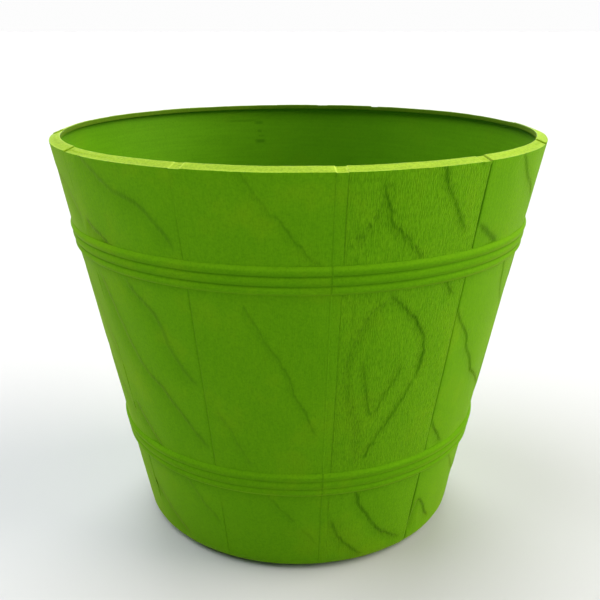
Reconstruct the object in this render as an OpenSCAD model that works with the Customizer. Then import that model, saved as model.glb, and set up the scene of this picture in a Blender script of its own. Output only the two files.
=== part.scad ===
// Round tapered flower bucket, moulded in plastic to look like a coopered wooden tub.
// Twelve staves of uneven width stand side by side round a raised floor, and two hoops
// of three beads run round them. Millimetres, +Z up, front towards -Y. The origin is
// the centre of the ring that the bucket stands on.

/* [Body] */
// Diameter across the outer edge of the rim
rim_d = 300; // [270:1:330]
// Height from the ground to the inner edge of the rim
height = 251; // [226:1:276]
// Diameter at which the sloping wall would meet the ground
base_d = 204; // [184:1:224]
// Thickness of the wall, square to its slope
wall = 3; // [2:0.1:4]
// Radius of the rounded corner at the bottom
corner_r = 10; // [7:0.5:13]

/* [Rim] */
// Width of the top of the rim, from its outer edge to its inner lip
rim_w = 6.5; // [5.5:0.1:8]
// How much lower the rim's outer edge is than its inner edge
rim_fall = 2.3; // [1:0.1:3]
// Height of the inner lip's upright face
lip_h = 3.6; // [2.4:0.1:4.4]

/* [Hoops] */
// Height of the lower hoop's bottom edge
lower_hoop_z = 57; // [45:0.5:70]
// Height of the upper hoop's bottom edge
upper_hoop_z = 185.2; // [165:0.2:195]
// Distance from one bead to the next
bead_pitch = 5.35; // [4.5:0.05:6]
// How far the beads stand out from the wall
bead_proud = 1.5; // [1.2:0.1:2]
// How far the band under the beads stands out from the wall
band_proud = 0.65; // [0.4:0.05:0.9]

/* [Base] */
// Height of the floor's underside above the ground
floor_z = 2.5; // [1.5:0.1:4]
// Thickness of the floor
floor_t = 3; // [2:0.1:4]
// Width of the flat ring that the bucket stands on
foot_w = 6; // [4:0.5:10]
// Radius of the fillet between the floor and the wall inside
inner_fillet = 6; // [4:0.5:8]

/* [Joints] */
// Width of the groove between two staves at the rim
groove_w = 0.9; // [0.4:0.1:1.4]
// Depth of the groove between two staves
groove_d = 0.6; // [0.3:0.1:1]

/* [Hidden] */
$fn = 128;

// Bearings of the joints between staves, in degrees from the front towards +X
joints = [-56, -24, 9, 40, 69, 101, 129, 157, 187, 215, 245, 275];
closed_joints = concat(joints, [joints[0] + 360]);
beads = 3;
// Flat edge of the band beyond its first and last bead
band_edge = 0.12;

rim_r = rim_d / 2;
base_r = base_d / 2;
rim_z = height - rim_fall;
lip_r = rim_r - rim_w;
lip_z = height - lip_h;
floor_top = floor_z + floor_t;
slope = (rim_r - base_r) / rim_z;
slant = sqrt(1 + slope * slope);
half_groove = groove_w / rim_r * 90 / PI;
corner_x = outer_r(corner_r) - corner_r * slant;
foot_r = corner_x - foot_w;
band_h = beads * bead_pitch + band_edge * 2;
// Radius of the arc that rises from the band to the bead's crown over half a bead
bead_rise = bead_proud - band_proud;
bead_r = (pow(bead_pitch / 2, 2) + bead_rise * bead_rise) / (2 * bead_rise);

// Radius of the wall's outer and inner faces at height z
function outer_r(z) = base_r + slope * z;
function inner_r(z) = outer_r(z) - wall * slant;

// Turns what is drawn from +X so that it starts at this bearing
module at_bearing(bearing) {
    rotate([0, 0, bearing - 90])
        children();
}

// Radial section of the wall, with its foot, rounded corner, rim and inner lip
module wall_section() {
    touch = [corner_x + corner_r / slant, corner_r - corner_r * slope / slant];
    fillet_z = floor_top + inner_fillet;
    fillet_x = inner_r(fillet_z) - inner_fillet * slant;
    meet = [fillet_x + inner_fillet / slant, fillet_z - inner_fillet * slope / slant];
    difference() {
        polygon([
            [foot_r, 0],
            [base_r, 0],
            [rim_r, rim_z],
            [lip_r, height],
            [lip_r, lip_z],
            [inner_r(lip_z), lip_z],
            meet,
            [fillet_x, fillet_z],
            [fillet_x, floor_top],
            [foot_r, floor_top]
        ]);
        // Sharp outer corner, down to its rounding
        difference() {
            polygon([
                [corner_x, -1],
                [base_r + 2, -1],
                [touch[0] + 2, touch[1]],
                touch,
                [corner_x, corner_r]
            ]);
            translate([corner_x, corner_r])
                circle(r = corner_r);
        }
    }
    // Rounding between the floor and the wall inside
    difference() {
        polygon([
            [fillet_x, floor_top],
            [inner_r(floor_top) + 0.5, floor_top],
            [meet[0] + 0.5, meet[1]],
            meet,
            [fillet_x, fillet_z]
        ]);
        translate([fillet_x, fillet_z])
            circle(r = inner_fillet);
    }
}

// Strip of the wall's outer face and of the rim's top that a joint groove takes away
module groove_section() {
    polygon([
        [outer_r(corner_r) - groove_d * slant, corner_r],
        [outer_r(corner_r) + 2, corner_r],
        [rim_r + 2, rim_z],
        [rim_r + 2, height + 2],
        [lip_r - 2, height + 2],
        [lip_r - 2, height - groove_d],
        [lip_r, height - groove_d],
        [rim_r - groove_d * slant, rim_z - groove_d]
    ]);
}

// One stave, numbered from 1, between its two joints
module stave(number) {
    start = closed_joints[number - 1];
    width = closed_joints[number] - start;
    color([0.42, 0.66, 0.07])
        difference() {
            at_bearing(start)
                rotate_extrude(angle = width)
                    wall_section();
            at_bearing(start - 1)
                rotate_extrude(angle = 1 + half_groove)
                    groove_section();
            at_bearing(start + width - half_groove)
                rotate_extrude(angle = 1 + half_groove)
                    groove_section();
        }
}

// Hoop of beads on a low band, lying against the outside of the staves
module hoop(bottom_z) {
    top_z = bottom_z + band_h;
    color([0.46, 0.71, 0.10])
        rotate_extrude()
            intersection() {
                polygon([
                    [outer_r(bottom_z), bottom_z],
                    [outer_r(bottom_z) + 5, bottom_z],
                    [outer_r(top_z) + 5, top_z],
                    [outer_r(top_z), top_z]
                ]);
                union() {
                    polygon([
                        [outer_r(bottom_z) - 1, bottom_z - 1],
                        [outer_r(bottom_z - 1) + band_proud * slant, bottom_z - 1],
                        [outer_r(top_z + 1) + band_proud * slant, top_z + 1],
                        [outer_r(top_z) - 1, top_z + 1]
                    ]);
                    for (i = [0 : beads - 1]) {
                        z = bottom_z + band_edge + (i + 0.5) * bead_pitch;
                        translate([outer_r(z) + bead_proud * slant - bead_r, z])
                            circle(r = bead_r);
                    }
                }
            }
}

module upper_hoop() {
    hoop(upper_hoop_z);
}

module lower_hoop() {
    hoop(lower_hoop_z);
}

// Floor, raised off the ground inside the foot ring
module base_floor() {
    color([0.36, 0.58, 0.05])
        translate([0, 0, floor_z])
            cylinder(h = floor_t, r = foot_r);
}

stave(1);  // stave_01
stave(2);  // stave_02
stave(3);  // stave_03
stave(4);  // stave_04
stave(5);  // stave_05
stave(6);  // stave_06
stave(7);  // stave_07
stave(8);  // stave_08
stave(9);  // stave_09
stave(10);  // stave_10
stave(11);  // stave_11
stave(12);  // stave_12
upper_hoop();
lower_hoop();
base_floor();
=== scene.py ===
import math

import bpy
import numpy as np
from mathutils.geometry import tessellate_polygon
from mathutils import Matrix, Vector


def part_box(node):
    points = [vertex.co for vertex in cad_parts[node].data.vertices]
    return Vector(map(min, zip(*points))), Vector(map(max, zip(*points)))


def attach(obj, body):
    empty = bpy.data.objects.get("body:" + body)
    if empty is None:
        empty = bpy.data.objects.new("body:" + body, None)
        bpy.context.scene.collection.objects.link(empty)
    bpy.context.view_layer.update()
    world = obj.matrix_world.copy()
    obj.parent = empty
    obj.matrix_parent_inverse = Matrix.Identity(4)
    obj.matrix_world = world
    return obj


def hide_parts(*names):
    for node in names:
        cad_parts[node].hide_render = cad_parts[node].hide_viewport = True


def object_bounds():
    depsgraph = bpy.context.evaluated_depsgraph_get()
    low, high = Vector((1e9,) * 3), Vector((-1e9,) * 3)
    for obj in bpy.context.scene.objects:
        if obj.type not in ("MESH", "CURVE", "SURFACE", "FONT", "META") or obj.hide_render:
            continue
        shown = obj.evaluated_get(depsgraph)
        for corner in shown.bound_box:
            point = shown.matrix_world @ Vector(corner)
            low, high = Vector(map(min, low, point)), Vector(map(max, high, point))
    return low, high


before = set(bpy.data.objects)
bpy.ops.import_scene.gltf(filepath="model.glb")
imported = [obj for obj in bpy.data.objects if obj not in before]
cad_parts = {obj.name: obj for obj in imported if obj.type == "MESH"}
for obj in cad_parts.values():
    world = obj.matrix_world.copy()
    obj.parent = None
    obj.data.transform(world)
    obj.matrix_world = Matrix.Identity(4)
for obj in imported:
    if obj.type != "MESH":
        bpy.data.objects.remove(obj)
cadLow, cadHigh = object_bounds()
mm = 0.001               # pieces are worked out in millimetres and written in metres
scene = bpy.context.scene
print("frame loaded:", len(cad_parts), "nodes")

# Sizes of the tub. Its outer sizes are the frame's own.
tub = {
    "rimRadius": cadHigh.x / mm - 0.03,
    "height": cadHigh.z / mm,
    "baseRadius": 102.0,          # where the sloping wall would meet the ground
    "wallThickness": 3.0,
    "cornerRounding": 10.0,
    "rimWidth": 6.5,
    "rimFall": 2.3,               # the rim's outer edge lies this much lower
    "lipHeight": 3.6,
    "floorUnder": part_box("base_floor")[0].z / mm,
    "floorTop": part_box("base_floor")[1].z / mm,
    "footRadius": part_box("base_floor")[1].x / mm,
}
rimEdgeHeight = tub["height"] - tub["rimFall"]
lipRadius = tub["rimRadius"] - tub["rimWidth"]
lipBottom = tub["height"] - tub["lipHeight"]
slope = (tub["rimRadius"] - tub["baseRadius"]) / rimEdgeHeight
slant = math.hypot(1, slope)

# Bearings of the joints between staves, in degrees from the front towards +X
staveJoints = [-56, -24, 9, 40, 69, 101, 129, 157, 187, 215, 245, 275]
partingBearings = [6.8, 186.8]    # where the two halves of the mould met
hoopBottoms = [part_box(node)[0].z / mm for node in ("upper_hoop", "lower_hoop")]


def outerRadius(height):
    return tub["baseRadius"] + slope * height


def innerRadius(height):
    return outerRadius(height) - tub["wallThickness"] * slant


def smoothStep(x, low, high):
    t = np.clip((x - low) / (high - low), 0, 1)
    return t * t * (3 - 2 * t)


def bearingGap(bearings, bearing):
    # degrees from one bearing to many, the short way round
    return (bearings - bearing + 180) % 360 - 180


def roundedSection(corners):
    # Walks round the corners, each (radius, height, rounding, step along the side after it), and
    # gives every row its place, the way it faces and its side. A rounding lies between two sides.
    spots = [np.array(c[:2], float) for c in corners]
    total = len(corners)
    ways = []
    for i in range(total):
        along = spots[(i + 1) % total] - spots[i]
        ways.append(along / np.linalg.norm(along))
    turns = []
    for i in range(total):
        a, b = ways[i - 1], ways[i]
        turns.append(math.atan2(a[0] * b[1] - a[1] * b[0], a @ b))
    reach = [c[2] * math.tan(abs(t) / 2) for c, t in zip(corners, turns)]
    rows = []
    for i in range(total):
        rounding, step = corners[i][2:]
        into, away = ways[i - 1], ways[i]
        side = math.copysign(1, turns[i])
        centre = spots[i] - into * reach[i] + side * rounding * np.array((-into[1], into[0]))
        arcSteps = max(4, round(abs(turns[i]) * rounding / 1.2)) if rounding else 0
        for k in range(arcSteps + 1):
            part = k / arcSteps if arcSteps else 0.5
            c, s = math.cos(turns[i] * part), math.sin(turns[i] * part)
            way = np.array((into[0] * c - into[1] * s, into[0] * s + into[1] * c))
            facing = np.array((way[1], -way[0]))
            rows.append((*(centre + side * rounding * facing), *facing, i - 1 + part))
        begin, end = reach[i], reach[(i + 1) % total]
        length = np.linalg.norm(spots[(i + 1) % total] - spots[i]) - begin - end
        cuts = max(1, round(length / step))
        for k in range(1, cuts):
            place = spots[i] + away * (begin + length * k / cuts)
            rows.append((*place, away[1], -away[0], i))
    return np.array(rows)


def columnBearings(start, end, step, breaks, fine):
    # even columns, with closer ones beside the joints and the breaks between them
    nearEdges = [0, 0.06, 0.13, 0.22, 0.34, 0.52, 0.8] if fine else [0, 0.2, 0.45]
    found = [start + e for e in nearEdges] + [end - e for e in nearEdges]
    for b in breaks:
        inside = b if b < end else b - 360
        if start + 0.5 < inside < end - 0.5:
            found += [inside - 0.1, inside - 0.04, inside + 0.04, inside + 0.1]
    found += list(np.arange(start + nearEdges[-1] + step, end - nearEdges[-1], step))
    found = np.unique(np.round(found, 3))
    keep = np.concatenate(([True], np.diff(found) > 0.03))
    keep[-1] = True
    return found[keep]


def meshFrom(name, places, faces, zones=None, flatFrom=None, marks=None):
    mesh = bpy.data.meshes.new(name)
    mesh.from_pydata((places * mm).tolist(), [], faces)
    smooth = np.ones(len(faces), bool)
    if flatFrom is not None:
        smooth[flatFrom:] = False
    mesh.polygons.foreach_set("use_smooth", smooth)
    if zones is not None:
        mesh.polygons.foreach_set("material_index", np.array(zones, np.int32))
    for key, values in (marks or {}).items():
        mark = mesh.attributes.new(key, "FLOAT", "POINT")
        mark.data.foreach_set("value", values.ravel().astype(np.float32))
    mesh.update()
    piece = bpy.data.objects.new(name, mesh)
    scene.collection.objects.link(piece)
    return piece


def sweptFaces(columns, rows, closed):
    # quads of a section of this many rows carried through the columns
    i = np.arange(columns if closed else columns - 1)[:, None]
    j = np.arange(rows)[None, :]
    i2, j2 = (i + 1) % columns, (j + 1) % rows
    quads = np.stack([i * rows + j, i2 * rows + j, i2 * rows + j2, i * rows + j2], -1)
    return quads.reshape(-1, 4).tolist()


def endFaces(section, first, forward):
    # closes one end of a swept section with triangles
    tris = tessellate_polygon([[(r, z, 0) for r, z in section]])
    faces = []
    for a, b, c in tris:
        (ax, ay), (bx, by), (cx, cy) = section[a], section[b], section[c]
        ahead = (bx - ax) * (cy - ay) - (by - ay) * (cx - ax) > 0
        faces.append([first + k for k in ((a, b, c) if ahead == forward else (a, c, b))])
    return faces


def sharpenEnds(mesh, rows, columns):
    # the end columns stay crisp, so that the joints between staves shade as real edges
    ends = np.empty(len(mesh.edges) * 2, np.int32)
    mesh.edges.foreach_get("vertices", ends)
    column = ends.reshape(-1, 2) // rows
    sharp = (column[:, 0] == column[:, 1]) & np.isin(column[:, 0], (0, columns - 1))
    mesh.edges.foreach_set("use_edge_sharp", sharp)


def spun(radii, bearings):
    # places of radii at bearings, heights left to the caller
    turn = np.radians(bearings)
    return radii * np.sin(turn), -radii * np.cos(turn)


def ring(low, depth, width, feather, *course):
    # One growth ring: a step down to its low side (1 left of its course, -1 right of it), the
    # step's depth, how wide its slope is, how far its fibres break it up, and points as
    # (degrees from the stave's first joint, height)
    return {"low": low, "depth": depth, "width": width, "feather": feather, "course": course}


woodFigures = {
    "sweeping": [
        ring(-1, 0.38, 3.4, 0.7,
             (6.5, 252), (10, 245), (14.2, 238), (17, 234), (23, 229), (26.5, 221), (28.7, 214), (31, 204)),
        ring(-1, 0.72, 3.2, 0.5, (2, 214), (4.6, 210), (7.2, 207.3), (9.4, 204), (14, 196)),
        ring(-1, 0.38, 3.4, 0.7,
             (14, 186), (16, 178), (21.4, 167), (23.6, 154), (24.6, 146), (27.5, 135), (32, 124)),
        ring(-1, 0.46, 3.2, 0.7,
             (2.5, 183), (5, 168), (9, 145), (13, 129), (18.6, 119), (23, 107), (28.2, 93), (32, 82)),
        ring(-1, 0.66, 3.0, 0.5, (2.8, 100), (4.1, 95), (6.4, 87), (9.4, 80), (13.4, 70)),
        ring(-1, 0.32, 2.6, 0.7, (17, 64), (20.6, 57), (24, 48), (26.7, 40), (29.5, 34), (30.8, 26)),
        ring(-1, 0.66, 3.0, 0.5, (0, 42), (3.4, 33), (6.6, 27), (10, 20), (13.8, 14), (17, 8)),
    ],
    "slanting": [
        ring(-1, 0.30, 1.3, 1.1,
             (13, 251), (15.8, 240), (17, 236), (18.9, 229), (21.9, 221), (25, 210), (30, 198)),
        ring(-1, 0.30, 1.3, 1.2,
             (11.6, 182), (14.6, 168), (18.6, 152), (20.4, 145), (21.9, 137), (23.5, 125), (25.6, 116),
             (29.4, 97)),
        ring(-1, 0.24, 1.6, 1.0, (2.4, 114), (3.6, 110), (5.9, 102), (8.4, 89), (12.4, 74)),
        ring(-1, 0.24, 1.8, 0.9, (14, 60), (16.3, 55), (18.6, 48), (24.2, 35)),
        ring(-1, 0.14, 1.8, 0.9, (24, 36), (28, 26), (31, 17)),
    ],
    "cathedral": [
        ring(1, 0.46, 1.4, 2.2, (7.4, 245), (6.3, 228), (4.1, 220), (0.8, 211)),
        ring(-1, 0.44, 1.5, 2.2, (7.0, 245), (9.1, 226), (11, 218), (13.9, 211), (18.4, 200)),
        ring(-1, 0.46, 1.9, 0.8,
             (18.6, 252), (19.9, 244), (21.2, 237), (23.9, 227), (26.3, 218), (28.6, 210)),
        ring(1, 0.34, 1.4, 1.3,
             (11.6, 186), (9.9, 180), (7.2, 175), (5.1, 166), (3.2, 155), (2, 142), (2, 131), (3, 122),
             (4.3, 113), (5.4, 104), (6, 90), (6.6, 74)),
        ring(-1, 0.48, 1.7, 1.1,
             (11, 186), (12.5, 180), (15.3, 174), (18.6, 166), (21.4, 155), (22.5, 146), (22.3, 136),
             (21.2, 126)),
        ring(-1, 0.36, 1.5, 1.8, (21.4, 130), (19, 120), (16.4, 109), (13.2, 97), (10.8, 88), (8.4, 78)),
        ring(-1, 0.30, 1.3, 1.4, (6, 148), (6.8, 140), (7.7, 126), (9, 115), (10.3, 106)),
        ring(-1, 0.26, 1.3, 2.2, (17, 144), (16, 134), (13.4, 124), (11.6, 116), (10.3, 106)),
        ring(-1, 0.46, 1.9, 1.0, (23.6, 190), (25.2, 186), (26.4, 182), (28.8, 175)),
        ring(-1, 0.46, 2.2, 0.8,
             (7.8, 60), (8.7, 55), (10.8, 44), (13.5, 36), (16.5, 27), (21.5, 19), (28.6, 11)),
        ring(-1, 0.42, 2.0, 0.8, (0.6, 40), (1.5, 36), (4, 25), (6.9, 18), (10.4, 11), (14, 6)),
    ],
    "waving": [
        ring(-1, 0.50, 2.6, 0.5, (11, 252), (14.3, 244), (16.7, 237), (21, 230), (27, 219)),
        ring(-1, 0.50, 3.8, 0.4, (0, 217), (2, 214), (4.5, 210), (10.6, 200)),
        ring(-1, 0.34, 2.2, 0.5, (17.6, 190), (18.4, 183), (19.2, 176), (21.1, 166), (27, 153)),
        ring(-1, 0.48, 1.9, 0.8,
             (0, 168), (1, 163), (2.9, 157), (5.6, 150), (7.8, 143), (9, 136), (12.5, 127), (15, 118),
             (19.6, 112), (29, 96)),
        ring(-1, 0.44, 1.9, 0.8, (0.2, 96), (1.4, 91), (4.1, 83), (8.4, 73)),
        ring(-1, 0.38, 2.0, 0.5, (14, 64), (15.7, 58), (18.6, 52), (21.5, 46), (28, 34)),
        ring(-1, 0.62, 1.9, 0.4,
             (-0.8, 10), (-0.4, 18), (0.3, 26), (1.2, 33), (2.5, 35.6), (4, 34), (6.4, 28), (9, 20),
             (13, 13)),
    ],
}
# from the first joint on, the figure that each stave carries, whether it is mirrored, and how much
# higher it lies
staveWood = [
    ("sweeping", False, 0), ("slanting", False, 0), ("cathedral", False, 0), ("waving", False, 0),
    ("sweeping", False, 0), ("slanting", True, 14), ("waving", False, -16), ("cathedral", True, -12),
    ("sweeping", False, 12), ("waving", True, 10), ("slanting", False, -10), ("sweeping", False, 0),
]

woodSizes = {
    "ramp": 14.0,             # how far a ring's step takes to climb back to the surface
    "crest": 0.03,            # how far the high side's edge stands up
    "fullDepth": 0.38,        # a ring this deep is shaded at full strength
    # where a ring's dark line and its soft edge lie and how wide they are, as shares of the step's
    # width, and how dark
    "shades": [(0.3, 0.52, 0.70), (1.0, 1.7, 0.20)],
    "gathering": (1.2, 2.6),  # the middle and half width of the fibres that gather along a ring
    "fadeIn": 7.0, "fadeOut": 8.0,
    "sways": (0.4, 0.3),      # how far a ring strays loosely and closely
    "fibreWidth": 0.8,
    # slow swells of the whole wall, each (height, wave up the wall, wave round it)
    "swells": [(0.08, 13, 5), (0.06, 29, -8)],
    "grooveWidth": 0.75,      # half the width of the groove between staves
    "grooveDepth": 0.60,
    "shoulder": 3.5,          # how far from a joint a stave begins to round off
    "shoulderDepth": 0.10,
    "jointShade": 0.30, "jointShadeWidth": 1.6,
    "partingHeight": 0.16, "partingWidth": 0.16,
    "partingStep": 0.12,      # how much lower the wall lies after the parting line, for this far
    "partingReach": 12.0,
    "shadeUnderHoop": 0.26,        # how dark the painted shade is on the wall close under a hoop
    "hoopSpans": ((57, 73), (185, 201)),      # the heights that the lower and the upper hoop cover
}
# how deep each joint is above the upper hoop, between the hoops and below the lower hoop
jointDepths = {-56: (0.05, 0.04, 0.04), -24: (0.12, 0.42, 0.14), 9: (0.30, 0.26, 0.08),
               40: (0.95, 0.70, 0.70), 69: (0.65, 0.55, 0.55)}
usualDepths = (0.55, 0.50, 0.45)
partingDepths = (0.34, 0.16, 0.46)
# how strong each figure's upright grain is
grainOfFigure = {"sweeping": 0.22, "slanting": 0.34, "cathedral": 1.0, "waving": 0.30}


def smoothCourse(course, perSpan=7):
    # Catmull-Rom curve through the course's points
    p = np.array(course, float)
    p = np.vstack([2 * p[0] - p[1], p, 2 * p[-1] - p[-2]])
    found = []
    for i in range(1, len(p) - 2):
        for t in np.arange(perSpan) / perSpan:
            found.append(0.5 * (2 * p[i] + (p[i + 1] - p[i - 1]) * t
                                + (2 * p[i - 1] - 5 * p[i] + 4 * p[i + 1] - p[i + 2]) * t ** 2
                                + (3 * p[i] - p[i - 1] - 3 * p[i + 1] + p[i + 2]) * t ** 3))
    found.append(p[-2])
    return np.array(found)


def fibreShift(across, width, draw):
    # a height for each fibre, blended a little into its neighbour's
    spare, count = 40, 400         # fibres before the joint, and in all
    cell = across / width + spare
    levels = draw.uniform(-1, 1, count)
    low = np.clip(np.floor(cell).astype(int), 0, count - 2)
    return levels[low] + (levels[low + 1] - levels[low]) * smoothStep(cell - low, 0.55, 1)


def carveRing(one, across, heights, bearingScale, relief, seed):
    draw = np.random.default_rng(seed)
    course = smoothCourse(one["course"])
    loose = np.convolve(draw.normal(0, 1, len(course) + 4), np.ones(5) / 5, "valid")
    close = np.convolve(draw.normal(0, 1, len(course) + 1), np.ones(2) / 2, "valid")
    looseSway, closeSway = woodSizes["sways"]
    lineX = course[:, 0] * np.interp(course[:, 1], *bearingScale) + looseSway * loose + closeSway * close
    lineZ = course[:, 1]
    reachOut = woodSizes["ramp"] + one["width"] + 3
    rows = np.flatnonzero((heights[0] > lineZ.min() - reachOut) & (heights[0] < lineZ.max() + reachOut))
    near = (across.max(1) > lineX.min() - reachOut) & (across.min(1) < lineX.max() + reachOut)
    columns = np.flatnonzero(near)
    if not len(rows) or not len(columns):
        return
    here = (slice(columns[0], columns[-1] + 1), slice(rows[0], rows[-1] + 1))
    x = across[here]
    z = heights[here] + one["feather"] * fibreShift(x, woodSizes["fibreWidth"], draw)
    best = np.full(x.shape, 1e9)
    signed = np.zeros(x.shape)
    along = np.zeros(x.shape)
    lengths = np.hypot(np.diff(lineX), np.diff(lineZ))
    runs = np.concatenate(([0], np.cumsum(lengths)))
    for k in range(len(lengths)):
        dx, dz = lineX[k + 1] - lineX[k], lineZ[k + 1] - lineZ[k]
        px, pz = x - lineX[k], z - lineZ[k]
        t = np.clip((px * dx + pz * dz) / lengths[k] ** 2, 0, 1)
        apart = np.hypot(px - t * dx, pz - t * dz)
        closer = apart < best
        best = np.where(closer, apart, best)
        signed = np.where(closer, np.sign(dx * pz - dz * px) * apart, signed)
        along = np.where(closer, runs[k] + t * lengths[k], along)
    # the line is stronger in some stretches than in others
    beat = np.interp(along, np.linspace(0, runs[-1], 9), draw.uniform(0.7, 1.15, 9))
    fade = smoothStep(along, 0, woodSizes["fadeIn"]) * smoothStep(runs[-1] - along, 0, woodSizes["fadeOut"])
    fade = fade * beat
    into = signed * one["low"]         # positive on the low side
    width = one["width"]
    back = np.clip(1 - (into - width) / woodSizes["ramp"], 0, 1) ** 1.6
    drop = np.where(into < width, smoothStep(into, -0.3, width), back)
    crest = woodSizes["crest"] * np.exp(-np.clip(-into, 0, None) / 1.1)
    relief["offset"][here] += fade * (np.where(into < 0, crest, 0) - one["depth"] * drop)
    strength = one["depth"] / woodSizes["fullDepth"] * fade
    # a ring's dark line is painted shade, where its step would lie in shadow
    for at, breadth, darkness in woodSizes["shades"]:
        dark = darkness * strength * np.exp(-((into - at * width) / (breadth * width)) ** 2)
        relief["paintedShade"][here] = np.maximum(relief["paintedShade"][here], dark)
    middle, half = woodSizes["gathering"]
    band = strength * np.exp(-((into - middle) / half) ** 2)
    relief["feather"][here] = np.maximum(relief["feather"][here], band)


def byHeight(values, height):
    # one strength above the upper hoop, one between the hoops and one below the lower hoop
    above, between, below = values
    lowerSpan, upperSpan = woodSizes["hoopSpans"]
    strength = below + (between - below) * smoothStep(height, *lowerSpan)
    return strength + (above - between) * smoothStep(height, *upperSpan)


def figureRings(stave, breadth):
    # the rings of a stave's figure, mirrored across its breadth and moved up as staveWood says
    figure, mirrored, higher = staveWood[stave]
    for one in woodFigures[figure]:
        low, course = one["low"], [(across, height + higher) for across, height in one["course"]]
        if mirrored:
            low, course = -low, [(breadth - across, height) for across, height in course]
        yield {**one, "low": low, "course": course}


def wallRelief(bearings, heights, start, end, stave):
    # how far each point of the outer wall stands out from the plain cone, and how dark its painted shade is
    bearing, height = np.meshgrid(bearings, heights, indexing="ij")
    radius = outerRadius(height)
    perDegree = np.radians(radius)
    across = (bearing - start) * perDegree
    relief = {name: np.zeros(across.shape) for name in ("offset", "paintedShade", "feather")}
    scale = (np.array([0.0, 260.0]), np.radians(outerRadius(np.array([0.0, 260.0]))))
    seed = stave + 1
    for k, one in enumerate(figureRings(stave, end - start)):
        carveRing(one, across, height, scale, relief, seed * 100 + k)
    offset, paintedShade = relief["offset"], relief["paintedShade"]
    for k, (swell, upward, sideways) in enumerate(woodSizes["swells"]):
        offset += swell * np.sin(height / upward + across / sideways + (k + 1) * seed)
    for joint, gap in ((start, across), (end, (end - bearing) * perDegree)):
        depths = next((d for b, d in jointDepths.items() if abs(bearingGap(joint, b)) < 0.5), usualDepths)
        strength = byHeight(depths, height)
        nearness = np.clip(1 - gap / woodSizes["grooveWidth"], 0, 1)
        offset -= woodSizes["grooveDepth"] * strength * smoothStep(nearness, 0, 1.3)
        shoulder = np.clip(1 - gap / woodSizes["shoulder"], 0, 1) ** 2
        offset -= woodSizes["shoulderDepth"] * np.clip(strength * 2, 0, 1) * shoulder
        # painted shade in the joint's groove, and softly beside it
        paintedShade = np.maximum(paintedShade, smoothStep(nearness, 0, 0.9) * strength)
        soft = np.exp(-(gap / woodSizes["jointShadeWidth"]) ** 2)
        paintedShade = np.maximum(paintedShade, woodSizes["jointShade"] * strength * soft)
    for b in partingBearings:
        gap = bearingGap(bearing, b) * perDegree
        strength = byHeight(partingDepths, height)
        offset += woodSizes["partingHeight"] * np.exp(-(gap / woodSizes["partingWidth"]) ** 2)
        offset -= woodSizes["partingStep"] * smoothStep(gap, 0, 0.4) * (gap < woodSizes["partingReach"])
        # painted shade along the parting line
        paintedShade = np.maximum(paintedShade, strength * np.exp(-((gap - 0.1) / 0.6) ** 2))
    for bottom in hoopBottoms:
        # painted shade on the wall just under each hoop
        under = woodSizes["shadeUnderHoop"] * np.exp((height - bottom) / 2.2) * (height < bottom + 1)
        paintedShade = np.maximum(paintedShade, under)
    relief["paintedShade"] = np.clip(paintedShade, 0, 1)
    return relief


rimMarks = {
    "cuts": {-56: 0.7, 40: 0.95, 69: 0.8, 101: 0.5, 129: 0.3, 157: 0.3, 187: 0.3, 215: 0.3,
             245: 0.3, 275: 0.7, 9: 0.08, -24: 0.08},      # depth of each joint's cut across the rim
    "cutWidth": 0.55,
    # short blocks beside joints, each (from, to, how much lower, how far it stands out)
    "blocks": [(-24, -21.8, 0.30, 0.65), (6.8, 9, 0.45, 0.75), (37.5, 40, 0.45, 0.7),
               (101, 103, -0.25, 0.5), (273, 275, -0.15, 0.2), (155, 157, 0.4, 0), (171, 174, 0.3, 0)],
    # how much lower each stave's first and last ends lie, from the first joint on
    "ends": [(0.72, 0.12), (0.12, 0.15), (0.15, 0.20), (0.10, 0.85), (0.08, 0.10), (0.80, 0.35),
             (0.20, 0.45), (0.15, 0.25), (0.40, 0.10), (0.12, 0.05), (0.12, 0.00), (0.45, 0.05)],
    "ripple": 0.08, "waves": (23.0, 11.0, 5.2, 2.3),      # its unevenness, from slow to quick
    "glintWidth": 0.45,                                   # a block's ends carry a painted highlight this far
}


def rimRelief(bearings, stave, start, end):
    # how much lower the rim lies at each bearing, how far it stands out, where it is cut, with painted shade
    # in the cuts, and the painted highlight at the blocks' ends
    perDegree = math.radians(tub["rimRadius"])
    first, last = rimMarks["ends"][stave]
    lower = first + (last - first) * ((bearings - start) / (end - start)) ** 1.4
    out = np.zeros(len(bearings))
    glint = np.zeros(len(bearings))
    for first, last, drop, stand in rimMarks["blocks"]:
        inside = bearingGap(bearings, first) * perDegree
        length = (last - first) * perDegree
        block = smoothStep(inside, -0.2, 0.2) * (1 - smoothStep(inside, length - 0.2, length + 0.2))
        lower = lower + drop * block
        out = out + stand * block
        # painted highlight at both ends of a block that stands out
        for edge in (inside, inside - length):
            pale = np.exp(-(edge / rimMarks["glintWidth"]) ** 2)
            glint = np.maximum(glint, pale * (stand > 0.6))
    draw = np.random.default_rng(900 + stave)
    phases = draw.uniform(0, 6.28, len(rimMarks["waves"]))
    arc = (bearings - start) * perDegree
    for k, wave in enumerate(rimMarks["waves"]):
        lower = lower + rimMarks["ripple"] / (k + 1) * (1 + np.sin(arc / wave * 2 + phases[k]))
    paintedShade = np.zeros(len(bearings))
    for joint in (start, end):
        depth = next(d for b, d in rimMarks["cuts"].items() if abs(bearingGap(joint, b)) < 0.5)
        gap = np.abs(bearings - joint) * perDegree
        nearness = np.clip(1 - gap / rimMarks["cutWidth"], 0, 1)
        lower = lower + depth * nearness
        # painted shade in the cut across the rim
        paintedShade = np.maximum(paintedShade, nearness * min(1, depth * 1.3))
    return lower, out, paintedShade, glint


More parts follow.
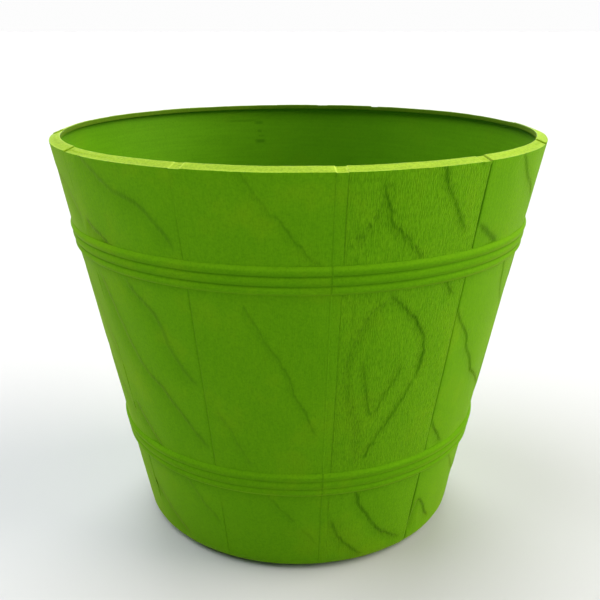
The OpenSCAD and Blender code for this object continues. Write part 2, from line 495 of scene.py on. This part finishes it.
staveMakeup = {
    # rows up the wall every so many millimetres, and columns every so many degrees
    "wallStep": 0.62, "farWallStep": 0.8, "quickWallStep": 2.0,
    "column": 0.22, "fineColumn": 0.185, "farColumn": 0.30, "quickColumn": 0.8,
    "rimStep": 0.7, "insideStep": 2.5,
    "lipShare": 0.35,                          # how much of the rim's unevenness the lip follows
    "drawIn": 0.25,                            # how far the rim's sides draw in where it lies lower
    "lipShade": 0.75, "lipShadeReach": 4.5,      # painted shade gathers under the lip
    "lowGrain": 0.45,                          # share of the grain that is left below the lower hoop
    "finishes": ["mouldedWall", "highlightedRim", "smoothInside", "shadedLip"],
}


def staveCorners(wallStep):
    # the stave's section, with the step for the side that follows each corner
    height = tub["height"]
    return [
        (tub["footRadius"], 0, 0.5, 2.0),
        (tub["baseRadius"], 0, tub["cornerRounding"], wallStep),
        (tub["rimRadius"], rimEdgeHeight, 0.45, staveMakeup["rimStep"]),
        (lipRadius, height, 0.55, 0.8),
        (lipRadius, lipBottom, 0.4, 1.2),
        (innerRadius(lipBottom), lipBottom, 0.7, staveMakeup["insideStep"]),
        (innerRadius(tub["floorTop"]), tub["floorTop"], 6.0, 2.0),
        (tub["footRadius"], tub["floorTop"], 0, 1.5),
    ]


def staveSteps(figure, facing):
    # the rows' and columns' steps, finer where the stave faces the front
    if not facing:
        return staveMakeup["farWallStep"], staveMakeup["farColumn"]
    return staveMakeup["wallStep"], staveMakeup["fineColumn" if figure == "cathedral" else "column"]


def sideShare(side, number):
    # 1 on this side of the section, fading to 0 round its corners
    return np.clip(1 - np.abs(side - number), 0, 1)


def makeStave(stave):
    start = staveJoints[stave]
    end = staveJoints[stave + 1] if stave < len(staveJoints) - 1 else staveJoints[0] + 360
    figure = staveWood[stave][0]
    wallStep, step = staveSteps(figure, start < 80 or end > 290)
    breaks = partingBearings + [b for block in rimMarks["blocks"] for b in block[:2]]
    bearings = columnBearings(start, end, step, breaks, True)
    rows = roundedSection(staveCorners(wallStep))
    r, z, faceR, faceZ, side = rows.T
    wallShare, rimShare, lipShare = sideShare(side, 1), sideShare(side, 2), sideShare(side, 3)
    outside = np.flatnonzero(wallShare > 0)
    relief = wallRelief(bearings, z[outside], start, end, stave)
    marks = {name: np.zeros((len(bearings), len(r))) for name in relief}
    for name, values in relief.items():
        marks[name][:, outside] = values
        marks[name] *= wallShare
    offset = marks.pop("offset")
    lower, out, rimShade, glint = rimRelief(bearings, stave, start, end)
    nearRim = wallShare * smoothStep(z, rimEdgeHeight - 2.6, rimEdgeHeight - 0.4)
    nearRim = nearRim + rimShare * (1 - rimShare)
    rimDepth = rimShare + lipShare * staveMakeup["lipShare"]
    radius = r + offset * faceR + out[:, None] * nearRim
    height = z + offset * faceZ - lower[:, None] * rimDepth
    radius = radius - lower[:, None] * staveMakeup["drawIn"] * rimShare * np.sign(r - lipRadius - 3)
    marks["paintedShade"] = np.maximum(marks["paintedShade"], rimShade[:, None] * np.clip(rimShare * 1.5, 0, 1))
    marks["paintedHighlight"] = glint[:, None] * rimShare
    belowLip = (side > 3.9) * (side < 6)
    # painted shade on the inner wall under the lip's overhang
    underLip = staveMakeup["lipShade"] * np.exp((z - lipBottom) / staveMakeup["lipShadeReach"]) * belowLip
    marks["paintedShade"] = np.maximum(marks["paintedShade"], underLip)
    x, y = spun(radius, bearings[:, None])
    places = np.stack([x, y, height], -1).reshape(-1, 3)
    columns, count = radius.shape
    faces = sweptFaces(columns, count, False)
    quadSide = np.tile((side + np.roll(side, -1)) / 2, columns - 1)
    wall, rim, inside, lip = range(len(staveMakeup["finishes"]))
    reaches = [quadSide < 1.5, quadSide < 2.7, quadSide < 4.6, quadSide < 6.9]
    zones = np.select(reaches, [wall, rim, lip, inside], wall)
    endOne = endFaces(list(zip(radius[0], height[0])), 0, True)
    endTwo = endFaces(list(zip(radius[-1], height[-1])), (columns - 1) * count, False)
    # where a stave's end stands above its neighbour, the rim's finish shows
    atRim = [min(z[k % count] for k in face) > rimEdgeHeight - 3.5 for face in endOne + endTwo]
    zones = np.concatenate([zones, np.where(atRim, rim, wall)])
    low = staveMakeup["lowGrain"]
    grain = grainOfFigure[figure] * (low + (1 - low) * smoothStep(z, 50, 80))
    marks["grain"] = grain * wallShare * np.ones(offset.shape)
    piece = meshFrom(f"staveBoard{stave + 1:02d}", places, faces + endOne + endTwo, zones, len(faces), marks)
    sharpenEnds(piece.data, count, columns)
    return piece


hoopMakeup = {
    "beads": 3,
    "pitch": 5.35,
    "proud": 1.5,            # a bead's crown above the wall
    "sunk": 0.9,             # how far the hoop's back lies inside the wall
    "dip": 0.4,              # how far its edges dip into the wall
    "beadRoundness": 2.1, "edgeRoundness": 1.25,
    # painted shade in the grooves and under each bead
    "grooveShade": 0.60, "beadUnderShade": 0.36,
    "paleAndHighlight": 0.20, "topHighlight": 0.32,      # how strong the painted highlight on the crowns is, and how much stronger it is on the top one
    "partingHeight": 0.16, "partingWidth": 0.2, "partingReach": 5, "partingShade": 0.75,
    "sways": [(0.05, 7, 0), (0.04, 17, 1)],      # each (size, waves round the tub, where they start)
    "step": 0.28, "quickStep": 0.7,
    "column": 0.75, "quickColumn": 3.0,
}
# the first number is how strongly a hoop's crowns carry painted highlight and its grooves painted shade,
# band how far its grooves stand out
hoops = {
    "upperBeads": {"node": "upper_hoop", "paintedLight": 1.0, "band": 0.60},
    "lowerBeads": {"node": "lower_hoop", "paintedLight": 0.55, "band": 0.80},
}


def hoopHeight(along, band):
    # how far the hoop stands out, at this distance up from its bottom edge
    pitch, proud = hoopMakeup["pitch"], hoopMakeup["proud"]
    width = hoopMakeup["beads"] * pitch
    within = (along / pitch) % 1 * 2 - 1
    bead = band + (proud - band) * (1 - np.abs(within) ** hoopMakeup["beadRoundness"])
    edge = np.minimum(along, width - along) / (pitch / 2)
    outermost = proud * np.sin(np.clip(edge, 0, 1) * math.pi / 2) ** hoopMakeup["edgeRoundness"]
    return np.where(edge < 1, outermost, bead)


def makeHoop(name):
    paintedLight, band = hoops[name]["paintedLight"], hoops[name]["band"]
    low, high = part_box(hoops[name]["node"])
    bottom = low.z / mm
    width = high.z / mm - bottom
    along = np.arange(0, width + 0.01, hoopMakeup["step"])
    along = np.append(along[:-1], width)
    beadPlace = along * hoopMakeup["beads"] * hoopMakeup["pitch"] / width
    stands = hoopHeight(beadPlace, band)
    stands[[0, -1]] = -hoopMakeup["dip"]
    wallPlace = outerRadius(bottom + along)
    back = slice(None, None, -6)
    r = np.concatenate([wallPlace + stands / slant, wallPlace[back] - hoopMakeup["sunk"]])
    z = np.concatenate([bottom + along - stands * slope / slant, (bottom + along)[back]])
    z[:len(along)] = np.clip(z[:len(along)], bottom - 0.25, None)
    spare = np.zeros(len(r) - len(along))
    front = np.concatenate([np.ones(len(along)), spare])
    # painted shade lies in the grooves and under each bead, and painted highlight on the crowns, as light
    # from above falls on them
    within = (beadPlace / hoopMakeup["pitch"]) % 1 * 2 - 1
    belowTop = beadPlace < hoopMakeup["pitch"] * 2.6
    groove = hoopMakeup["grooveShade"] * smoothStep(np.abs(within), 0.6, 0.98) * belowTop
    under = hoopMakeup["beadUnderShade"] * smoothStep(-within, 0.0, 0.9)
    crown = smoothStep(within, -0.1, 0.5) * (1 - 0.6 * smoothStep(within, 0.7, 1.0))
    topBead = beadPlace > hoopMakeup["pitch"] * 2
    crown = paintedLight * crown * (hoopMakeup["paleAndHighlight"] + hoopMakeup["topHighlight"] * topBead)
    groove = np.concatenate([paintedLight * np.maximum(groove, under), spare])
    crown = np.concatenate([crown, spare])
    step = hoopMakeup["column"]
    bearings = np.arange(-180, 180, step)
    near = [p + e for p in partingBearings for e in (-0.35, -0.14, -0.05, 0.05, 0.14, 0.35)]
    bearings = np.unique(np.round(np.concatenate([bearings, [(b + 180) % 360 - 180 for b in near]]), 3))
    lift = np.zeros(len(bearings))
    paintedShade = np.ones(len(bearings))[:, None] * groove
    for b in partingBearings:
        gap = bearingGap(bearings, b) * np.radians(outerRadius(bottom))
        high, reach = hoopMakeup["partingHeight"], hoopMakeup["partingReach"]
        ridge = high * np.exp(-(gap / hoopMakeup["partingWidth"]) ** 2)
        lift += ridge - high * smoothStep(gap, 0, 0.3) * (gap < reach)
        shade = hoopMakeup["partingShade"] * np.exp(-((gap - 0.1) / 0.45) ** 2)
        paintedShade = np.maximum(paintedShade, shade[:, None] * front)
    turn = np.radians(bearings)
    sway = sum(size * np.sin(turn * waves + at) for size, waves, at in hoopMakeup["sways"])
    radius = r[None, :] + (lift + sway)[:, None] * front
    x, y = spun(radius, bearings[:, None])
    places = np.stack([x, y, np.broadcast_to(z, radius.shape)], -1).reshape(-1, 3)
    marks = {"paintedShade": paintedShade, "paintedHighlight": np.ones(len(bearings))[:, None] * crown}
    return meshFrom(name, places, sweptFaces(len(bearings), len(r), True), None, None, marks)


floorMakeup = {
    "gateRadius": 5.0, "gateDepth": 0.9,      # the stub where the plastic entered the mould
    "swirl": 0.12, "swirlWave": 4.2,          # the low rings that the mould left on its top
    "sides": 144, "quickSides": 36,
}


def makeFloor():
    # Its section runs from the underside's middle out, up the edge and back over the top.
    top, under, edge = tub["floorTop"], tub["floorUnder"], tub["footRadius"]
    gate, stub = floorMakeup["gateRadius"], under - floorMakeup["gateDepth"]
    section = [(1.6, stub), (gate - 1, stub), (gate - 0.3, stub + 0.2)]
    section += [(gate, under - 0.3), (gate + 0.5, under)]
    section += [(r, under) for r in np.arange(gate + 3, edge - 2, 4)]
    section += [(edge, under), (edge, top)]
    section += [(r, top + floorMakeup["swirl"] * math.cos(r / floorMakeup["swirlWave"]))
                for r in np.arange(edge - 2, 2, -3)]
    section = np.array(section)
    sides = floorMakeup["sides"]
    bearings = np.arange(sides) * 360 / sides
    x, y = spun(section[None, :, 0], bearings[:, None])
    places = np.stack([x, y, np.broadcast_to(section[:, 1], x.shape)], -1).reshape(-1, 3)
    rows = len(section)
    faces = [f for f in sweptFaces(sides, rows, True) if f[0] % rows < f[3] % rows]
    middle = len(places)
    places = np.vstack([places, [[0, 0, stub], [0, 0, section[-1, 1]]]])
    for k in range(sides):
        here, following = k * rows, (k + 1) % sides * rows
        faces.append([middle, following, here])
        faces.append([middle + 1, here + rows - 1, following + rows - 1])
    return meshFrom("floorDisc", places, faces)


def newGroup(name, inputs, outputs):
    group = bpy.data.node_groups.new(name, "ShaderNodeTree")
    for socketName, kind, value in inputs:
        made = group.interface.new_socket(socketName, in_out="INPUT", socket_type=kind)
        if value is not None:
            made.default_value = value
    for socketName, kind in outputs:
        group.interface.new_socket(socketName, in_out="OUTPUT", socket_type=kind)
    enter = group.nodes.new("NodeGroupInput")
    leave = group.nodes.new("NodeGroupOutput")
    return group, enter, leave


def addNode(tree, kind, settings=None, **inputs):
    node = tree.nodes.new(kind)
    for key, value in (settings or {}).items():
        setattr(node, key, value)
    for key, value in inputs.items():
        socket = node.inputs[key.replace("_", " ")]
        if hasattr(value, "is_linked"):
            tree.links.new(value, socket)
        else:
            socket.default_value = value
    return node


def addMath(tree, operation, first, second=0.0, third=0.0, clamp=False):
    node = tree.nodes.new("ShaderNodeMath")
    node.operation = operation
    node.use_clamp = clamp
    for socket, value in zip(node.inputs, (first, second, third)):
        if hasattr(value, "is_linked"):
            tree.links.new(value, socket)
        else:
            socket.default_value = value
    return node.outputs[0]


def spread(tree, value, low, high, toLow=0.0, toHigh=1.0, smooth=False):
    # stretches the values between low and high over those between toLow and toHigh
    settings = {"interpolation_type": "SMOOTHSTEP"} if smooth else None
    node = addNode(tree, "ShaderNodeMapRange", settings, Value=value, From_Min=low, From_Max=high,
                   To_Min=toLow, To_Max=toHigh)
    return node.outputs[0]


def addNoise(tree, place, scale, detail, roughness, dimensions="3D"):
    return addNode(tree, "ShaderNodeTexNoise", {"noise_dimensions": dimensions}, Vector=place,
                   Scale=scale, Detail=detail, Roughness=roughness).outputs["Fac"]


unrollRadius = 0.128     # the radius in metres at which a bearing is turned into a way round the wall


def makeUnrolledGroup():
    # lays the tub's wall out flat: metres round it and up it, and metres out from the middle
    ways = [(way, "NodeSocketFloat") for way in ("Round", "Up", "Out")]
    group, enter, leave = newGroup("unrolledWall", [], ways)
    place = addNode(group, "ShaderNodeTexCoord").outputs["Object"]
    parts = addNode(group, "ShaderNodeSeparateXYZ", Vector=place)
    forward = addMath(group, "MULTIPLY", parts.outputs["Y"], -1.0)
    bearing = addMath(group, "ARCTAN2", parts.outputs["X"], forward)
    group.links.new(addMath(group, "MULTIPLY", bearing, unrollRadius), leave.inputs["Round"])
    group.links.new(parts.outputs["Z"], leave.inputs["Up"])
    level = addNode(group, "ShaderNodeCombineXYZ", X=parts.outputs["X"], Y=parts.outputs["Y"]).outputs[0]
    out = addNode(group, "ShaderNodeVectorMath", {"operation": "LENGTH"}, Vector=level)
    group.links.new(out.outputs["Value"], leave.inputs["Out"])
    return group


def makeGrainGroup(unrolled):
    # upright pores, pale strokes between them and broader fibres, as wood has them
    group, enter, leave = newGroup(
        "uprightGrain", [("Pore Size", "NodeSocketFloat", 1850.0), ("Stretch", "NodeSocketFloat", 0.16)],
        [("Pores", "NodeSocketFloat"), ("Strokes", "NodeSocketFloat"), ("Fibres", "NodeSocketFloat")])
    flat = addNode(group, "ShaderNodeGroup", {"node_tree": unrolled})
    up = addMath(group, "MULTIPLY", flat.outputs["Up"], enter.outputs["Stretch"])
    at = addNode(group, "ShaderNodeCombineXYZ", X=flat.outputs["Round"], Y=up).outputs[0]
    fine = addNoise(group, at, enter.outputs["Pore Size"], 1.5, 0.5, "2D")
    wide = addNoise(group, at, addMath(group, "MULTIPLY", enter.outputs["Pore Size"], 0.28), 3.0, 0.6, "2D")
    group.links.new(spread(group, fine, 0.50, 0.66, smooth=True), leave.inputs["Pores"])
    group.links.new(spread(group, fine, 0.47, 0.33, smooth=True), leave.inputs["Strokes"])
    group.links.new(spread(group, wide, 0.35, 0.65), leave.inputs["Fibres"])
    return group


def makeMottleGroup():
    # cloudy unevenness of the moulded colour, with a fine speckle over it
    group, enter, leave = newGroup(
        "mouldedMottle",
        [("Cloud Size", "NodeSocketFloat", 28.0), ("Speckle Size", "NodeSocketFloat", 800.0)],
        [("Clouds", "NodeSocketFloat"), ("Speckle", "NodeSocketFloat")])
    place = addNode(group, "ShaderNodeTexCoord").outputs["Object"]
    group.links.new(addNoise(group, place, enter.outputs["Cloud Size"], 4.0, 0.62), leave.inputs["Clouds"])
    group.links.new(addNoise(group, place, enter.outputs["Speckle Size"], 2.0, 0.7), leave.inputs["Speckle"])
    return group


def makeTurningGroup(unrolled):
    # rings round the middle, as the mould's turned core left them on the inside, the floor and the rim
    group, enter, leave = newGroup("turningStreaks", [("Streak Size", "NodeSocketFloat", 420.0)],
                                   [("Streaks", "NodeSocketFloat")])
    flat = addNode(group, "ShaderNodeGroup", {"node_tree": unrolled})
    slow = addMath(group, "MULTIPLY", flat.outputs["Round"], 0.06)
    across = addMath(group, "ADD", flat.outputs["Up"], flat.outputs["Out"])
    at = addNode(group, "ShaderNodeCombineXYZ", X=slow, Y=across).outputs[0]
    streaks = addNoise(group, at, enter.outputs["Streak Size"], 3.0, 0.6, "2D")
    group.links.new(spread(group, streaks, 0.35, 0.65), leave.inputs["Streaks"])
    return group


def makeDashGroup(unrolled):
    # a short level scuff at one place on the wall
    group, enter, leave = newGroup(
        "scuffDash", [("At Round", "NodeSocketFloat", 0.0), ("At Up", "NodeSocketFloat", 0.0),
                      ("Half Length", "NodeSocketFloat", 0.003), ("Half Height", "NodeSocketFloat", 0.001)],
        [("Dash", "NodeSocketFloat")])
    flat = addNode(group, "ShaderNodeGroup", {"node_tree": unrolled})
    nearness = []
    for way, at, half in (("Round", "At Round", "Half Length"), ("Up", "At Up", "Half Height")):
        apart = addMath(group, "ABSOLUTE", addMath(group, "SUBTRACT", flat.outputs[way], enter.outputs[at]))
        share = addMath(group, "SUBTRACT", 1.0, addMath(group, "DIVIDE", apart, enter.outputs[half]))
        nearness.append(spread(group, share, 0.0, 0.7, smooth=True))
    group.links.new(addMath(group, "MULTIPLY", *nearness), leave.inputs["Dash"])
    return group


unrolledWall = makeUnrolledGroup()
groups = {
    "grain": makeGrainGroup(unrolledWall),
    "mottle": makeMottleGroup(),
    "turning": makeTurningGroup(unrolledWall),
    "dash": makeDashGroup(unrolledWall),
}


def mixColour(tree, factor, first, second):
    node = tree.nodes.new("ShaderNodeMix")
    node.data_type = "RGBA"
    for socket, value in ((node.inputs[0], factor), (node.inputs[6], first), (node.inputs[7], second)):
        if hasattr(value, "is_linked"):
            tree.links.new(value, socket)
        else:
            socket.default_value = value if not isinstance(value, tuple) else (*value, 1.0)
    return node.outputs[2]


plasticFinishes = {
    "mouldedWall": {
        "colour": (0.090, 0.286, 0.003), "pale": (0.134, 0.350, 0.005), "deep": (0.018, 0.104, 0.001),
        "paleAndHighlight": (0.165, 0.420, 0.006), "aged": (0.172, 0.330, 0.004),
        "roughness": 0.54, "grain": 1.0, "bump": 0.00018, "sheen": 0.20, "specular": 0.014,
        "speckle": 0.20, "turning": 0.0},
    "beadedHoop": {
        "colour": (0.090, 0.286, 0.003), "pale": (0.128, 0.340, 0.005), "deep": (0.018, 0.104, 0.001),
        "paleAndHighlight": (0.165, 0.420, 0.006), "aged": (0.165, 0.320, 0.004),
        "roughness": 0.52, "grain": 0.2, "bump": 0.00010, "sheen": 0.19, "specular": 0.007,
        "speckle": 0.20, "turning": 0.08},
    # the rim is a lighter, yellower copy of the wall's plastic, painted with the light that falls on its top
    "highlightedRim": {
        "colour": (0.276, 0.456, 0.017), "pale": (0.350, 0.536, 0.030), "deep": (0.045, 0.140, 0.002),
        "paleAndHighlight": (0.520, 0.720, 0.080), "aged": (0.370, 0.520, 0.022),
        "roughness": 0.60, "grain": 0.5, "bump": 0.00014, "sheen": 0.06, "specular": 0.03,
        "speckle": 0.34, "turning": 0.18},
    "smoothInside": {
        "colour": (0.108, 0.320, 0.005), "pale": (0.138, 0.368, 0.008), "deep": (0.030, 0.118, 0.001),
        "paleAndHighlight": (0.170, 0.420, 0.008), "aged": (0.142, 0.310, 0.004),
        "roughness": 0.46, "grain": 0.0, "bump": 0.00008, "sheen": 0.14, "specular": 0.04,
        "speckle": 0.18, "turning": 0.12},
    # the lip's inner face is a darker copy of the same plastic, painted with the shade it lies in
    "shadedLip": {
        "colour": (0.100, 0.200, 0.009), "pale": (0.118, 0.226, 0.012), "deep": (0.034, 0.096, 0.001),
        "paleAndHighlight": (0.200, 0.350, 0.014), "aged": (0.146, 0.240, 0.011),
        "roughness": 0.50, "grain": 0.0, "bump": 0.00008, "sheen": 0.06, "specular": 0.04,
        "speckle": 0.24, "turning": 0.14},
}
plasticGloss = {
    "sheenTint": (0.92, 0.95, 0.06, 1), "sheenRoughness": 0.42,
    "specularTint": (0.85, 1.0, 0.3, 1),
}
# how strongly each unevenness and the painted shade colour every finish, and how strongly each unevenness is
# raised or sunk
paintStrength = {"clouds": 0.35, "patches": 0.36, "strokes": 0.20, "pores": 0.31, "paintedShade": 0.66}
reliefStrength = {"speckle": 0.5, "pores": 0.9, "strokes": 0.5, "fibres": 0.5}
# scuffs on the inside at the back, each (bearing, height, half length, half height, strength)
insideScuffs = [
    (-167.5, 236.9, 3.9, 1.8, 0.40), (-167.6, 230.6, 2.0, 1.4, 0.40), (-168.1, 227.0, 3.2, 1.2, 0.26),
    (-167.7, 223.0, 5.0, 2.0, 0.54), (-161.7, 238.6, 15.0, 1.3, 0.26),
]


def tinted(tree, colour, mask, strength, tint):
    # lays a tint over the colour, as strongly as the mask says
    return mixColour(tree, addMath(tree, "MULTIPLY", mask, strength), colour, tint)


def paintedMark(tree, name):
    # a mark that the mesh carries at its points
    return addNode(tree, "ShaderNodeAttribute", {"attribute_name": name}).outputs["Fac"]


def makePlastic(name):
    look = plasticFinishes[name]
    material = bpy.data.materials.new(name)
    material.use_nodes = True
    tree = material.node_tree
    shader = tree.nodes["Principled BSDF"]
    shader.inputs["Specular IOR Level"].default_value = look["specular"]
    shader.inputs["Specular Tint"].default_value = plasticGloss["specularTint"]
    shader.inputs["Sheen Weight"].default_value = look["sheen"]
    shader.inputs["Sheen Roughness"].default_value = plasticGloss["sheenRoughness"]
    shader.inputs["Sheen Tint"].default_value = plasticGloss["sheenTint"]
    mottle = addNode(tree, "ShaderNodeGroup", {"node_tree": groups["mottle"]})
    grain = addNode(tree, "ShaderNodeGroup", {"node_tree": groups["grain"]})
    turning = addNode(tree, "ShaderNodeGroup", {"node_tree": groups["turning"]})
    clouds, speckle = mottle.outputs["Clouds"], mottle.outputs["Speckle"]
    grainHere = addMath(tree, "MULTIPLY", paintedMark(tree, "grain"), look["grain"])
    # pores gather along the rings, where the feather is strong
    gathered = addMath(tree, "MULTIPLY_ADD", paintedMark(tree, "feather"), 1.2, 0.60)
    poresHere = addMath(tree, "MULTIPLY", grainHere, gathered)
    pores = addMath(tree, "MULTIPLY", grain.outputs["Pores"], poresHere, clamp=True)
    strokes = addMath(tree, "MULTIPLY", grain.outputs["Strokes"], grainHere)
    fibreShare = addMath(tree, "MULTIPLY_ADD", grainHere, 0.35, 0.10)

    wholeClouds, patches = spread(tree, clouds, 0.3, 0.7), spread(tree, clouds, 0.54, 0.72)
    colour = tinted(tree, look["colour"], wholeClouds, paintStrength["clouds"], look["pale"])
    colour = tinted(tree, colour, patches, paintStrength["patches"], look["aged"])
    colour = tinted(tree, colour, grain.outputs["Fibres"], fibreShare, look["pale"])
    # painted highlight on the hoops' crowns and at the rim blocks' ends
    colour = mixColour(tree, paintedMark(tree, "paintedHighlight"), colour, look["paleAndHighlight"])
    colour = tinted(tree, colour, spread(tree, speckle, 0.5, 0.72), look["speckle"], look["paleAndHighlight"])
    colour = tinted(tree, colour, spread(tree, speckle, 0.5, 0.28), look["speckle"], look["deep"])
    colour = tinted(tree, colour, turning.outputs["Streaks"], look["turning"], look["deep"])
    colour = tinted(tree, colour, strokes, paintStrength["strokes"], look["paleAndHighlight"])
    colour = tinted(tree, colour, pores, paintStrength["pores"], look["deep"])
    # painted shade in the rings, joints, grooves and cuts, and under the hoops and the lip
    colour = tinted(tree, colour, paintedMark(tree, "paintedShade"), paintStrength["paintedShade"], look["deep"])
    if name == "smoothInside":
        for bearing, height, halfLength, halfHeight, strength in insideScuffs:
            dash = addNode(tree, "ShaderNodeGroup", {"node_tree": groups["dash"]},
                           At_Round=math.radians(bearing) * unrollRadius, At_Up=height * mm,
                           Half_Length=halfLength * mm, Half_Height=halfHeight * mm)
            colour = tinted(tree, colour, dash.outputs[0], strength, look["deep"])
    tree.links.new(colour, shader.inputs["Base Color"])
    rough = spread(tree, speckle, 0.3, 0.7, look["roughness"] - 0.06, look["roughness"] + 0.08)
    tree.links.new(rough, shader.inputs["Roughness"])

    relief = addMath(tree, "SUBTRACT", addMath(tree, "MULTIPLY", speckle, reliefStrength["speckle"]),
                     addMath(tree, "MULTIPLY", pores, reliefStrength["pores"]))
    raised = addMath(tree, "MULTIPLY", strokes, reliefStrength["strokes"])
    relief = addMath(tree, "ADD", relief, raised)
    fibresHere = addMath(tree, "MULTIPLY", grainHere, reliefStrength["fibres"])
    fibres = addMath(tree, "MULTIPLY", grain.outputs["Fibres"], fibresHere)
    relief = addMath(tree, "ADD", relief, fibres)
    bump = addNode(tree, "ShaderNodeBump", None, Strength=0.8, Distance=look["bump"], Height=relief)
    tree.links.new(bump.outputs[0], shader.inputs["Normal"])
    return material


plastics = {name: makePlastic(name) for name in plasticFinishes}
print("materials made:", ", ".join(plastics))


def finishPiece(piece, node, finishes):
    for name in finishes:
        piece.data.materials.append(plastics[name])
    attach(piece, "root")
    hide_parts(node)


for stave in range(len(staveJoints)):
    finishPiece(makeStave(stave), f"stave_{stave + 1:02d}", staveMakeup["finishes"])
print("staves made:", len(staveJoints))

for name in hoops:
    finishPiece(makeHoop(name), hoops[name]["node"], ["beadedHoop"])
print("hoops made")

finishPiece(makeFloor(), "base_floor", ["smoothInside"])
print("floor made")

studio = {
    "groundSize": 40.0, "groundColour": (0.590, 0.600, 0.622),
    # soft lights, each (bearing it comes from, height in degrees, strength, colour)
    "lights": {
        "rightLight": (90, 32, 0.98, (1, 0.92, 0.80)),
        "backLight": (180, 30, 0.94, (1, 1, 1)),
        "leftLight": (-90, 60, 0.69, (1, 1, 1)),
        "frontLight": (45, 50, 0.08, (1, 1, 1)),
    },
    "softness": 50.0,        # how wide each light looks, in degrees
    "skyHorizon": 0.98, "skyTop": 0.12,
    "skyFade": (0.05, 0.22),  # between these heights on a sky of radius 1 it darkens
}


def makeStudio():
    half = studio["groundSize"] / 2
    mesh = bpy.data.meshes.new("studioGround")
    corners = [(-half, -half, 0), (half, -half, 0), (half, half, 0), (-half, half, 0)]
    mesh.from_pydata(corners, [], [(0, 1, 2, 3)])
    ground = bpy.data.objects.new("studioGround", mesh)
    scene.collection.objects.link(ground)
    ground.location.z = -0.0001      # a hair under the tub's foot
    material = bpy.data.materials.new("paleGround")
    material.use_nodes = True
    shader = material.node_tree.nodes["Principled BSDF"]
    shader.inputs["Base Color"].default_value = (*studio["groundColour"], 1)
    shader.inputs["Roughness"].default_value = 0.9
    shader.inputs["Specular IOR Level"].default_value = 0.1
    mesh.materials.append(material)
    for name, (bearing, height, strength, tint) in studio["lights"].items():
        light = bpy.data.objects.new(name, bpy.data.lights.new(name, "SUN"))
        light.data.energy = strength * math.pi
        light.data.color = tint
        light.data.angle = math.radians(studio["softness"])
        light.rotation_euler = (math.radians(90 - height), 0, math.radians(bearing))
        scene.collection.objects.link(light)
    world = bpy.data.worlds.new("studioSky")
    scene.world = world
    world.use_nodes = True
    tree = world.node_tree
    way = addNode(tree, "ShaderNodeTexCoord").outputs["Generated"]
    up = addNode(tree, "ShaderNodeSeparateXYZ", Vector=way).outputs["Z"]
    ramp = spread(tree, up, *studio["skyFade"], studio["skyHorizon"], studio["skyTop"], smooth=True)
    background = tree.nodes["Background"]
    background.inputs["Color"].default_value = (1, 1, 1, 1)
    tree.links.new(ramp, background.inputs["Strength"])


# metres from the middle of the tub's foot, degrees down from level, and millimetres of lens
cameraPlace = {"x": 0.001, "back": 0.5297, "height": 0.3153, "pitch": 18.605, "lens": 50.34, "film": 36}


def makeCamera():
    camera = bpy.data.objects.new("camera", bpy.data.cameras.new("camera"))
    camera.data.lens = cameraPlace["lens"]
    camera.data.sensor_width = cameraPlace["film"]
    camera.data.clip_start = 0.01
    camera.location = (cameraPlace["x"], -cameraPlace["back"], cameraPlace["height"])
    camera.rotation_euler = (math.radians(90 - cameraPlace["pitch"]), 0, 0)
    scene.collection.objects.link(camera)
    scene.camera = camera


makeStudio()
makeCamera()
scene.view_settings.view_transform = "Standard"
scene.view_settings.look = "None"
print("studio and camera made")
